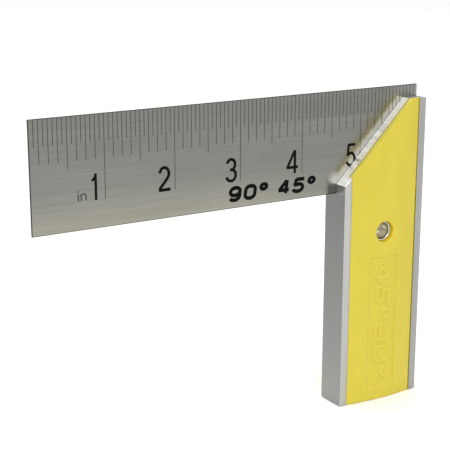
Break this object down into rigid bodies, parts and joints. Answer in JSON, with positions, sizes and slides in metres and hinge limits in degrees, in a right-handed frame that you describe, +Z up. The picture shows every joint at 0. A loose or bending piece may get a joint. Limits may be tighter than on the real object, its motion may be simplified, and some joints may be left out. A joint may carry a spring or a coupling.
{
  "type": "try square",
  "caption": "Try square with a steel rule blade, a mitred aluminium stock, domed yellow inlays and a lined hanging hole.",
  "frame": {"origin": "centre of the stock's lower end face, in the middle of its width and thickness", "axes": "+Z up the stock towards its mitred end, -X along the blade towards its free end, -Y out of the front, the side with inch graduations"},
  "size_m": [0.1525, 0.014, 0.1174],
  "materials": {
    "stock_aluminium": "satin, extruded, with bright saw-cut ends and mitre",
    "blade_steel": "brushed along its length, half bright",
    "inlay_plastic": "satin moulded yellow plastic",
    "eyelet_metal": "bright nickel plate",
    "rivet_aluminium": "plain",
    "adhesive_tape": "thin double-sided tape",
    "black_ink": "printed black numbers",
    "etched_lines": "dark grey etched graduations"
  },
  "bodies": {
    "root": {"stock_body": "stock_aluminium", "blade": "blade_steel", "front_inlay": "inlay_plastic", "back_inlay": "inlay_plastic", "hang_hole_eyelet": "eyelet_metal", "blade_rivet_top": "rivet_aluminium", "blade_rivet_outer": "rivet_aluminium", "blade_rivet_inner": "rivet_aluminium", "front_inlay_adhesive": "adhesive_tape", "back_inlay_adhesive": "adhesive_tape"}
  },
  "joints": []
}
